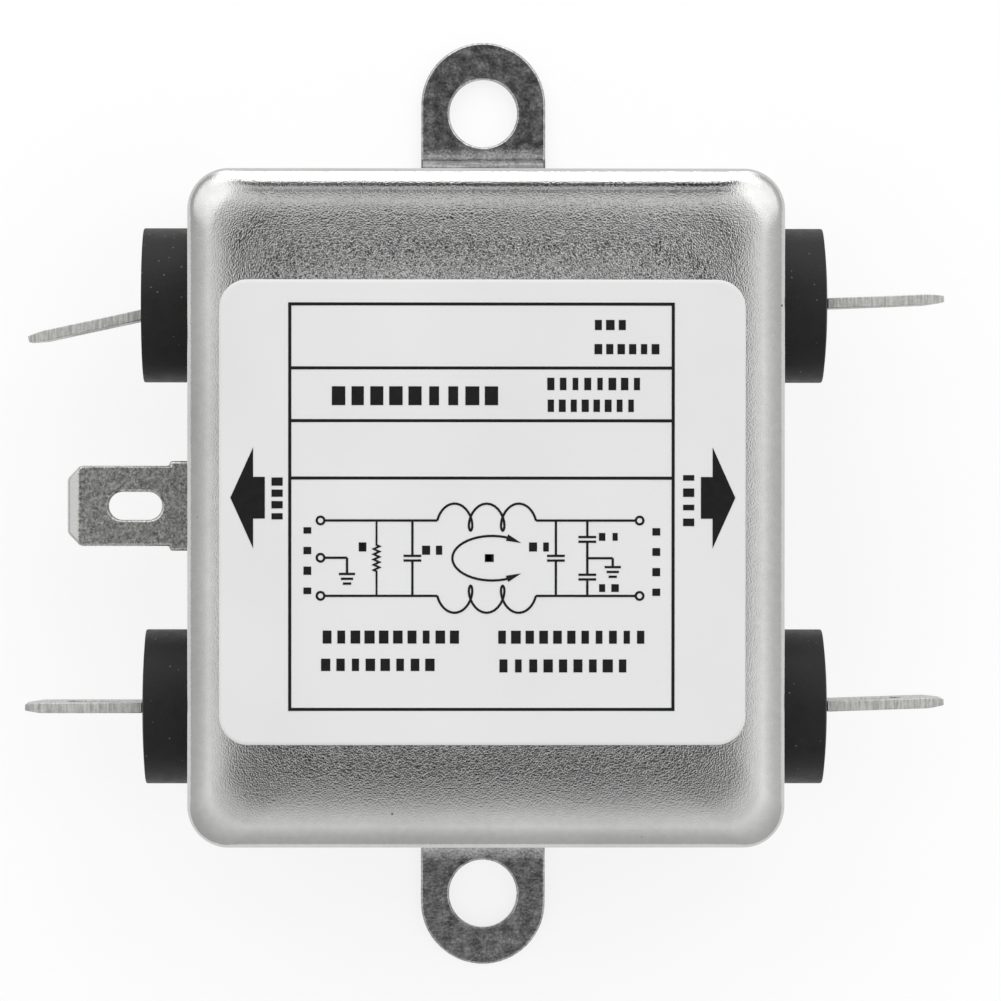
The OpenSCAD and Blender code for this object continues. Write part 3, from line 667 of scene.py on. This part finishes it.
def barTree():
    # Bars of uneven length side by side along each edge of the input mesh
    tree = bpy.data.node_groups.new("word bars", "GeometryNodeTree")
    sockets = tree.interface
    sockets.new_socket("Geometry", in_out="INPUT", socket_type="NodeSocketGeometry")
    for name in ("Bar pitch", "Bar gap", "Bar thickness"):
        sockets.new_socket(name, in_out="INPUT", socket_type="NodeSocketFloat")
    sockets.new_socket("Seed", in_out="INPUT", socket_type="NodeSocketInt")
    sockets.new_socket("Ink", in_out="INPUT", socket_type="NodeSocketMaterial")
    sockets.new_socket("Geometry", in_out="OUTPUT", socket_type="NodeSocketGeometry")
    given = addNode(tree, "NodeGroupInput", out=None)
    curve = addNode(tree, "GeometryNodeMeshToCurve", {"Mesh": given["Geometry"]})
    spaced = addNode(tree, "GeometryNodeResampleCurve", {"Curve": curve, "Length": given["Bar pitch"]},
                     mode="LENGTH")
    spread = addNode(tree, "FunctionNodeRandomValue", {"Seed": given["Seed"], 2: 0.6, 3: 1.0}, out=1)
    longest = addNode(tree, "ShaderNodeMath", {0: given["Bar pitch"], 1: given["Bar gap"]},
                      operation="SUBTRACT")
    length = addNode(tree, "ShaderNodeMath", {0: longest, 1: spread}, operation="MULTIPLY")
    height = addNode(tree, "GeometryNodeInputNamedAttribute", {"Name": "barHeight"}, data_type="FLOAT")
    size = addNode(tree, "ShaderNodeCombineXYZ", {"X": length, "Y": height, "Z": given["Bar thickness"]})
    along = addNode(tree, "GeometryNodeInputTangent")
    turned = addNode(tree, "FunctionNodeAlignRotationToVector", {"Vector": along}, axis="X")
    bar = addNode(tree, "GeometryNodeMeshCube", {"Size": (1, 1, 1)}, out="Mesh")
    placed = addNode(tree, "GeometryNodeInstanceOnPoints", {
        "Points": spaced, "Instance": bar, "Rotation": turned, "Scale": size})
    real = addNode(tree, "GeometryNodeRealizeInstances", {"Geometry": placed})
    inked = addNode(tree, "GeometryNodeSetMaterial", {"Geometry": real, "Material": given["Ink"]})
    addNode(tree, "NodeGroupOutput", {"Geometry": inked})
    return tree


def setInputs(modifier, values):
    for item in modifier.node_group.interface.items_tree:
        if item.in_out == "INPUT" and item.name in values:
            modifier[item.identifier] = values[item.name]


def makeWordBars(name, form, tree):
    mesh = bpy.data.meshes.new(name)
    verts, edges, heights = [], [], []
    for start, end, tall in form["rows"]:
        start, end = Vector(start), Vector(end)
        margin = (end - start).normalized() * form["pitch"] * 0.4     # room for half of the longest bar
        edges.append((len(verts), len(verts) + 1))
        for at in (start + margin, end - margin):
            x, y = labelX + at.x * mm, labelY + at.y * mm
            verts.append((x, y, faceHeight(x, y) + labelForm["thickness"] + barLift))
            heights.append(tall * mm)
    mesh.from_pydata(verts, edges, [])
    mesh.attributes.new("barHeight", "FLOAT", "POINT").data.foreach_set("value", heights)
    obj = bpy.data.objects.new(name, mesh)
    bpy.context.scene.collection.objects.link(obj)
    modifier = obj.modifiers.new("bars", "NODES")
    modifier.node_group = tree
    setInputs(modifier, {"Bar pitch": form["pitch"] * mm, "Bar gap": form["gap"] * mm,
                         "Bar thickness": barThickness, "Seed": form["seed"], "Ink": ink})
    return finish(applied(obj), ink, "printing_ink")


wordBars = barTree()
for name, form in wordRows.items():
    makeWordBars(name, form, wordBars)
print("word bars made")

softEdges = {"base_plate": 0.16, "ground_tab": 0.2, "terminals": 0.06}   # bevels in millimetres

finish(softened("base_plate", "basePlate", softEdges["base_plate"], 3), plateSteel,
       "plated_steel_plate", "base_plate")
finish(softened("ground_tab", "groundBlade", softEdges["ground_tab"], 3), groundPlating,
       "tinned_steel", "ground_tab")
for row in ("line", "load"):
    for level in ("upper", "lower"):
        node = f"{row}_terminal_{level}"
        blade = softened(node, f"{row}Blade{level.capitalize()}", softEdges["terminals"])
        finish(blade, tin, "tinned_brass", node)
print("plate and blades made")

bushingForm = {
    "steps": 96,
    "spigotRadius": 4 * mm,
    "spigotLead": 0.3 * mm,
    "flatRadius": 1.5 * mm,      # of the outer face's flat middle
    "crowns": {"line_bushing_upper": 0.05, "line_bushing_lower": 0.22,    # fall of the face, in mm
               "load_bushing_upper": 0.3, "load_bushing_lower": 0.3},
    "crownSteps": 5,
    "edge": 0.07 * mm,
    "slotWide": 4.1 * mm,        # along Z
    "slotThick": 0.9 * mm,
    "slotReach": 6 * mm,
    "bendOut": 0.3 * mm,         # a blade bends this far outside the can
    "bends": {"line_bushing_upper": -12.2, "line_bushing_lower": 0.0,     # of the blades, in degrees
              "load_bushing_upper": 2.3, "load_bushing_lower": 1.9},
}


def slotOutline(start, bend):
    # The slot seen from above: straight through the spigot, then along the bent blade
    half, reach = bushingForm["slotThick"] / 2, bushingForm["slotReach"]
    turnAt = halfX + bushingForm["bendOut"]
    mitre = half * math.tan(bend / 2)
    endX, endY = turnAt + reach * math.cos(bend), reach * math.sin(bend)
    acrossX, acrossY = -half * math.sin(bend), half * math.cos(bend)
    return [(start, half), (turnAt - mitre, half), (endX + acrossX, endY + acrossY),
            (endX - acrossX, endY - acrossY), (turnAt + mitre, -half), (start, -half)]


def bushingProfile(inner, outer, radius, crown):
    # (radius, distance from the middle plane) from the spigot's end to the crowned outer face
    form = bushingForm
    edge, flat, spigot, lead = form["edge"], form["flatRadius"], form["spigotRadius"], form["spigotLead"]
    profile = [(0, inner), (spigot - lead, inner), (spigot, inner + lead),
               (spigot, halfX), (radius - edge, halfX), (radius, halfX + edge),
               (radius, outer - crown - 2 * edge), (radius - 0.3 * edge, outer - crown - 0.6 * edge),
               (radius - edge, outer - crown)]
    reach = radius - edge - flat
    steps = form["crownSteps"]
    profile += [(radius - edge - reach * i / steps, outer - crown * (1 - i / steps) ** 2)
                for i in range(1, steps + 1)]
    return profile + [(0, outer)]


def turnedInto(bm, middle, side, profile):
    # The profile turned round the X axis through middle, on the line side (-1) or the load side (1)
    steps = bushingForm["steps"]
    angles = [2 * math.pi * i / steps for i in range(steps)]
    rings = []
    for r, along in profile:
        if r == 0:
            rings.append([bm.verts.new(middle + Vector((side * along, 0, 0)))])
        else:
            rings.append([bm.verts.new(middle + Vector((side * along, r * math.cos(a), r * math.sin(a))))
                          for a in angles])
    for a, b in zip(rings, rings[1:]):
        if len(a) == 1 or len(b) == 1:
            hub, ring = (a[0], b) if len(a) == 1 else (b[0], a)
            for i in range(len(ring)):
                bm.faces.new((hub, ring[i], ring[(i + 1) % len(ring)]))
        else:
            bridge(bm, a, b)
    bmesh.ops.recalc_face_normals(bm, faces=bm.faces)


def bladeSlot(middle, side, start, bend):
    half = bushingForm["slotWide"] / 2
    bm = bmesh.new()
    ends = [[bm.verts.new(middle + Vector((side * x, y, z))) for x, y in slotOutline(start, bend)]
            for z in (-half, half)]
    bridge(bm, ends[0], ends[1])
    bm.faces.new(ends[0])
    bm.faces.new(ends[1][::-1])
    bmesh.ops.recalc_face_normals(bm, faces=bm.faces)
    return objectFrom("slotCutter", bm)


def makeBushing(node, name):
    low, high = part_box(node)
    side = 1 if low[0] + high[0] > 0 else -1
    inner, outer = sorted((abs(low[0]), abs(high[0])))
    middle = Vector((0, (low[1] + high[1]) / 2, (low[2] + high[2]) / 2))
    bm = bmesh.new()
    crown = bushingForm["crowns"][node] * mm
    turnedInto(bm, middle, side, bushingProfile(inner, outer, (high[1] - low[1]) / 2, crown))
    bushing = objectFrom(name, bm)
    cutFrom(bushing, bladeSlot(middle, side, inner - mm, math.radians(bushingForm["bends"][node])))
    return finish(bushing, thermoset, "bushing_plastic", node)


for row in ("line", "load"):
    for level in ("upper", "lower"):
        makeBushing(f"{row}_bushing_{level}", f"{row}Bushing{level.capitalize()}")
print("bushings made")

# The pieces inside keep their CAD form, apart from the windings
innerFinishes = {
    "vulcanised fibre": {            # red-brown board, quite dull
        "colours": ("#6E2A20", "#8A3A2C"), "roughness": 0.6, "grain": 0.6 * mm, "depth": 0.01 * mm,
        "nodes": ["line_washer_upper", "line_washer_lower", "load_washer_upper", "load_washer_lower"]},
    "pressed insulating paper": {    # grey-green, matt and fibrous
        "colours": ("#7A826A", "#8F967E"), "roughness": 0.75, "grain": 0.5 * mm, "depth": 0.01 * mm,
        "nodes": ["insulating_liner"]},
    "cast potting resin": {          # near black, set with a gloss and soft waves
        "colours": ("#1C1916", "#2A2622"), "roughness": 0.25, "grain": 4 * mm, "depth": 0.02 * mm,
        "nodes": ["resin_bed"]},
    "sintered ferrite": {            # dark grey, finely sandy
        "colours": ("#2C2E30", "#3C3E40"), "roughness": 0.55, "grain": 0.3 * mm, "depth": 0.012 * mm,
        "nodes": ["choke_core"]},
    "moulded nylon": {               # milky cream, half dull
        "colours": ("#CBC5B0", "#D8D3BF"), "roughness": 0.45, "grain": 3 * mm, "depth": 0.01 * mm,
        "nodes": ["choke_divider"]},
    "moulded polyester box": {       # mustard yellow, nearly smooth
        "colours": ("#CBAA35", "#D9BA45"), "roughness": 0.4, "grain": 2 * mm, "depth": 0.01 * mm,
        "nodes": ["x_capacitor_line", "x_capacitor_load"]},
    "dipped ceramic lacquer": {      # blue, glossy and uneven from dipping
        "colours": ("#2F4F85", "#3C5F96"), "roughness": 0.3, "grain": 1.5 * mm, "depth": 0.03 * mm,
        "nodes": ["y_capacitor_upper", "y_capacitor_lower"]},
    "lacquered resistor body": {     # tan, half glossy
        "colours": ("#B3946A", "#C4A577"), "roughness": 0.35, "grain": 1 * mm, "depth": 0.01 * mm,
        "nodes": ["bleed_resistor"]},
    "green sleeving": {              # soft plastic, half glossy
        "colours": ("#486E30", "#56803A"), "roughness": 0.4, "grain": 2 * mm, "depth": 0.01 * mm,
        "nodes": ["ground_wire"]},
}
for name, form in innerFinishes.items():
    material = innerStuff(name, form)
    for node in form["nodes"]:
        cadNodes[node].data.materials.clear()
        cadNodes[node].data.materials.append(material)

# Copper seen through clear enamel, made as one warm metal without a coat
enamelForm = {"colours": ("#A05C30", "#B8703F"), "metallic": 1.0, "roughness": 0.22,
              "grain": 1.2 * mm, "depth": 0.004 * mm}
enamel = innerStuff("enamelled copper", enamelForm)

windingForm = {
    "wire": 1.5 * mm,
    "sides": 16,
    "clear": 0.05 * mm,         # between the core and the wire
    "bend": 1.2 * mm,           # radius of the wire's middle line round the core's edges
    "turns": 9,
    "span": 140,                # degrees of the core
    "coreInner": 7.5 * mm,
    "lug": (18.9 * mm, 15.45 * mm),
}


def windingPath(side):
    # From the line lug, round the core turn by turn, to the load lug
    lugLow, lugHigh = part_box("line_terminal_upper")
    coreLow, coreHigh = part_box("choke_core")
    form = windingForm
    wire, bend, turns, span = form["wire"], form["bend"], form["turns"], form["span"]
    coreOuter, coreInner = (coreHigh[0] - coreLow[0]) / 2, form["coreInner"]
    a = (coreOuter - coreInner) / 2 + form["clear"] + wire / 2 - bend
    b = (coreHigh[2] - coreLow[2]) / 2 + form["clear"] + wire / 2 - bend
    midR, midZ = (coreOuter + coreInner) / 2, (coreLow[2] + coreHigh[2]) / 2
    low = midZ - b - bend
    lugX, lugY = form["lug"]
    lugZ = (lugLow[2] + lugHigh[2]) / 2
    leadIn = [(-lugX, lugY, lugZ + 1.1 * mm), (-lugX, lugY - 1.8 * mm, lugZ + 1.1 * mm),
              (-lugX + 0.7 * mm, lugY - 3 * mm, lugZ + 0.6 * mm),
              (-lugX + 2.7 * mm, lugY - 4.5 * mm, low + 0.3 * mm), (-lugX + 5.1 * mm, lugY - 7.2 * mm, low)]
    loop = []

    def onBend(cx, cz, degrees):
        angle = math.radians(degrees)
        return cx + bend * math.cos(angle), cz + bend * math.sin(angle)

    for cx, cz, start in ((a, -b, 315), (-a, -b, 270), (-a, b, 180), (a, b, 90)):
        stops = (0, -45) if start == 315 else (0, -45, -90)
        loop += [onBend(cx, cz, start + stop) for stop in stops]
    loop += [(a + bend, -b), onBend(a, -b, -22.5)]
    pitch = span / turns
    coil = []
    for k in range(turns):
        for j, (dr, dz) in enumerate(loop):
            angle = math.radians(90 + span / 2 - pitch * (k + j / len(loop)))
            coil.append(((midR + dr) * math.cos(angle), (midR + dr) * math.sin(angle), midZ + dz))
    leadOut = [(-x, y, z) for x, y, z in reversed(leadIn)]
    return [(x * side, y * side, z) for x, y, z in leadIn + coil + leadOut]


def wireTree():
    # A round wire along the input curve
    tree = bpy.data.node_groups.new("round wire", "GeometryNodeTree")
    sockets = tree.interface
    sockets.new_socket("Geometry", in_out="INPUT", socket_type="NodeSocketGeometry")
    sockets.new_socket("Wire diameter", in_out="INPUT", socket_type="NodeSocketFloat")
    sockets.new_socket("Sides", in_out="INPUT", socket_type="NodeSocketInt")
    sockets.new_socket("Finish", in_out="INPUT", socket_type="NodeSocketMaterial")
    sockets.new_socket("Geometry", in_out="OUTPUT", socket_type="NodeSocketGeometry")
    given = addNode(tree, "NodeGroupInput", out=None)
    radius = addNode(tree, "ShaderNodeMath", {0: given["Wire diameter"], 1: 0.5}, operation="MULTIPLY")
    section = addNode(tree, "GeometryNodeCurvePrimitiveCircle", {
        "Resolution": given["Sides"], "Radius": radius}, out="Curve")
    swept = addNode(tree, "GeometryNodeCurveToMesh", {
        "Curve": given["Geometry"], "Profile Curve": section, "Fill Caps": True})
    real = addNode(tree, "GeometryNodeRealizeInstances", {"Geometry": swept})
    done = addNode(tree, "GeometryNodeSetMaterial", {"Geometry": real, "Material": given["Finish"]})
    addNode(tree, "NodeGroupOutput", {"Geometry": done})
    return tree


def makeWinding(side, name, node, tree):
    curve = bpy.data.curves.new(name, "CURVE")
    curve.dimensions = "3D"
    path = windingPath(side)
    spline = curve.splines.new("POLY")
    spline.points.add(len(path) - 1)
    for point, at in zip(spline.points, path):
        point.co = (*at, 1)
    source = bpy.data.objects.new(name + "Path", curve)
    bpy.context.scene.collection.objects.link(source)
    modifier = source.modifiers.new("wire", "NODES")
    modifier.node_group = tree
    setInputs(modifier, {"Wire diameter": windingForm["wire"], "Sides": windingForm["sides"],
                         "Finish": enamel})
    bpy.context.view_layer.update()
    evaluated = source.evaluated_get(bpy.context.evaluated_depsgraph_get())
    mesh = bpy.data.meshes.new_from_object(evaluated)
    bpy.data.objects.remove(source)
    winding = bpy.data.objects.new(name, mesh)
    bpy.context.scene.collection.objects.link(winding)
    mesh.shade_smooth()
    mesh.set_sharp_from_angle(angle=math.radians(60))
    return finish(winding, enamel, "enamelled_copper", node)


roundWire = wireTree()
makeWinding(1, "windingUpper", "choke_winding_upper", roundWire)
makeWinding(-1, "windingLower", "choke_winding_lower", roundWire)
print("inner pieces finished")

floorForm = {
    "colour": "#FCFCFC",
    "glow": 1.03,
    "share": 0.75,      # of the glow, the rest being lit and shadowed
    "halfSize": 4,      # metres
}


def paleFloor():
    # The camera and mirror-like surfaces see it nearly white, and it keeps a quarter of its shadow
    material, tree = newMaterial("pale floor")
    rays = addNode(tree, "ShaderNodeLightPath", out=None)
    seen = addNode(tree, "ShaderNodeMath", {0: rays["Is Camera Ray"], 1: rays["Is Glossy Ray"]},
                   operation="ADD", use_clamp=True)
    seen = addNode(tree, "ShaderNodeMath", {0: seen, 1: rays["Is Transmission Ray"]},
                   operation="ADD", use_clamp=True)
    share = addNode(tree, "ShaderNodeMath", {0: seen, 1: floorForm["share"]}, operation="MULTIPLY")
    lit = addNode(tree, "ShaderNodeBsdfDiffuse", {"Color": linear(floorForm["colour"])})
    glow = addNode(tree, "ShaderNodeEmission", {"Color": (1, 1, 1, 1), "Strength": floorForm["glow"]})
    mixed = addNode(tree, "ShaderNodeMixShader", {0: share, 1: lit, 2: glow})
    addNode(tree, "ShaderNodeOutputMaterial", {"Surface": mixed})
    return material


def makeFloor():
    bm = bmesh.new()
    bmesh.ops.create_grid(bm, x_segments=1, y_segments=1, size=floorForm["halfSize"])
    floor = objectFrom("floor", bm)
    floor.data.materials.append(paleFloor())


# Levels of the studio by the angle from straight up, in degrees, and then by the parts of a
# direction: x, y, z from -1 to 1, and aside, which is x without its sign
studioForm = {
    "overhead": {0: 0.0, 3: 0.03, 6: 0.12, 9: 0.28, 12: 0.45, 15: 0.62, 18: 0.78, 22: 0.92, 26: 1.0,
                 30: 0.98, 36: 0.88, 45: 0.77, 57: 0.67, 70: 0.64, 88: 0.61},
    "core": (-0.015, 0.1),      # the darkest place reaches from here to here in y
    "steeper": {"y": [(0.12, 1.0), (0.22, 2.0), (0.45, 1.35), (0.8, 1.0)]},
    "slant": {"x": [(-0.7, 0.96), (-0.4, 1.02), (0.4, 1.12), (0.7, 1.1)],
              "y": [(-0.4, 0.9), (-0.1, 1.1), (0.0, 1.0)]},
    "lampPower": 0.74,
    "lamps": {"aside": [(0.12, 0.0), (0.3, 1.0)],
              "y": [(0.05, 0.0), (0.35, 1.0)],
              "z": [(0.35, 0.0), (0.5, 1.0), (0.9, 1.0), (0.96, 0.0)]},
    "backPower": 1.15,
    "back": {"aside": [(0.3, 1.0), (0.5, 0.0)],
             "y": [(0.5, 0.0), (0.62, 1.0)],
             "z": [(0.66, 1.0), (0.71, 0.0)]},
    "gaps": {"aside": [(0.15, 1.0), (0.22, 0.0)],
             "x": [(-0.1, 0.5), (0.0, 1.0)],
             "y": [(0.3, 0.0), (0.4, 1.0)],
             "z": [(0.68, 0.0), (0.71, 0.99), (0.8, 0.99), (0.825, 0.25), (0.86, 0.2), (0.885, 0.8),
                   (0.925, 0.8), (0.945, 0.0)]},
}


def skyPatch(tree, way, bands):
    # How strong a patch of the studio is in each direction: its bands multiplied
    strength = 1.0
    for part, stops in bands.items():
        spread = addNode(tree, "ShaderNodeMath", {0: way[part], 1: 0.5, 2: 0.5}, operation="MULTIPLY_ADD")
        band = addNode(tree, "ShaderNodeValToRGB", {0: spread},
                       stops=[((place + 1) / 2, level) for place, level in stops])
        strength = addNode(tree, "ShaderNodeMath", {0: strength, 1: band}, operation="MULTIPLY")
    return strength


def makeWorld():
    # A pale studio: dark straight above, where the camera hangs, two wide soft lamps behind the
    # part to either side, a low one at the back, and narrow dark gaps between them
    world = bpy.data.worlds.new("studio")
    bpy.context.scene.world = world
    world.use_nodes = True
    tree = world.node_tree
    tree.nodes.clear()
    form = studioForm
    direction = addNode(tree, "ShaderNodeTexCoord", out="Generated")
    x, y, z = addNode(tree, "ShaderNodeSeparateXYZ", {"Vector": direction}, out=None)
    aside = addNode(tree, "ShaderNodeMath", {0: x}, operation="ABSOLUTE")
    way = {"x": x, "y": y, "z": z, "aside": aside}
    low, high = form["core"]
    core = addNode(tree, "ShaderNodeClamp", {"Value": y, "Min": low, "Max": high})
    away = addNode(tree, "ShaderNodeMath", {0: y, 1: core}, operation="SUBTRACT")
    steeper = skyPatch(tree, way, form["steeper"])
    away = addNode(tree, "ShaderNodeMath", {0: away, 1: steeper}, operation="MULTIPLY")
    away = addNode(tree, "ShaderNodeCombineXYZ", {"X": x, "Y": away})
    sine = addNode(tree, "ShaderNodeVectorMath", {0: away}, out="Value", operation="LENGTH")
    angle = addNode(tree, "ShaderNodeMath", {0: sine}, operation="ARCSINE")
    turn = addNode(tree, "ShaderNodeMath", {0: angle, 1: math.pi / 2}, operation="DIVIDE", use_clamp=True)
    level = addNode(tree, "ShaderNodeValToRGB", {0: turn},
                    stops=[(degrees / 90, value) for degrees, value in form["overhead"].items()])
    slant = skyPatch(tree, way, form["slant"])
    level = addNode(tree, "ShaderNodeMath", {0: level, 1: slant}, operation="MULTIPLY")
    for patch, power in (("lamps", "lampPower"), ("back", "backPower")):
        lamp = skyPatch(tree, way, form[patch])
        level = addNode(tree, "ShaderNodeMath", {0: lamp, 1: form[power], 2: level}, operation="MULTIPLY_ADD")
    gaps = skyPatch(tree, way, form["gaps"])
    left = addNode(tree, "ShaderNodeMath", {0: 1.0, 1: gaps}, operation="SUBTRACT")
    level = addNode(tree, "ShaderNodeMath", {0: level, 1: left}, operation="MULTIPLY")
    # Seen by the camera past the floor's end it is plain white; the metal mirrors the lamps as they are
    camera = addNode(tree, "ShaderNodeLightPath", out="Is Camera Ray")
    seen = addNode(tree, "ShaderNodeMix", {0: camera, 2: level, 3: 1.0})
    background = addNode(tree, "ShaderNodeBackground", {"Color": (1, 1, 1, 1), "Strength": seen})
    addNode(tree, "ShaderNodeOutputWorld", {"Surface": background})


lampForm = {"towards": (0.0, 1.0, 0.1), "distance": 1.0, "wide": 0.6, "high": 0.2, "power": 0.4}


def makeLamp(name, form):
    data = bpy.data.lights.new(name, "AREA")
    data.shape = "RECTANGLE"
    data.size = form["wide"]
    data.size_y = form["high"]
    data.energy = form["power"]
    lamp = bpy.data.objects.new(name, data)
    bpy.context.scene.collection.objects.link(lamp)
    lamp.location = Vector(form["towards"]).normalized() * form["distance"]
    lamp.rotation_euler = lamp.location.to_track_quat("Z", "Y").to_euler()


cameraForm = {
    "at": (-4.415 * mm, 6.072 * mm, 482.85 * mm),
    "pitch": 0.01203,     # radians
    "yaw": 0.01211,
    "roll": -0.00048,
    "sensor": 36,         # millimetres, as the lens
    "lens": 212.89,
}


def makeCamera():
    data = bpy.data.cameras.new("camera")
    data.sensor_width = cameraForm["sensor"]
    data.lens = cameraForm["lens"]
    data.clip_start = 0.01
    camera = bpy.data.objects.new("camera", data)
    bpy.context.scene.collection.objects.link(camera)
    turned = (Matrix.Rotation(-cameraForm["pitch"], 4, "X") @ Matrix.Rotation(-cameraForm["yaw"], 4, "Y")
              @ Matrix.Rotation(-cameraForm["roll"], 4, "Z"))
    camera.matrix_world = Matrix.Translation(cameraForm["at"]) @ turned
    bpy.context.scene.camera = camera


makeFloor()
makeWorld()
makeLamp("lowLampBehind", lampForm)
makeCamera()
bpy.context.scene.view_settings.view_transform = "Standard"
print("stage made")
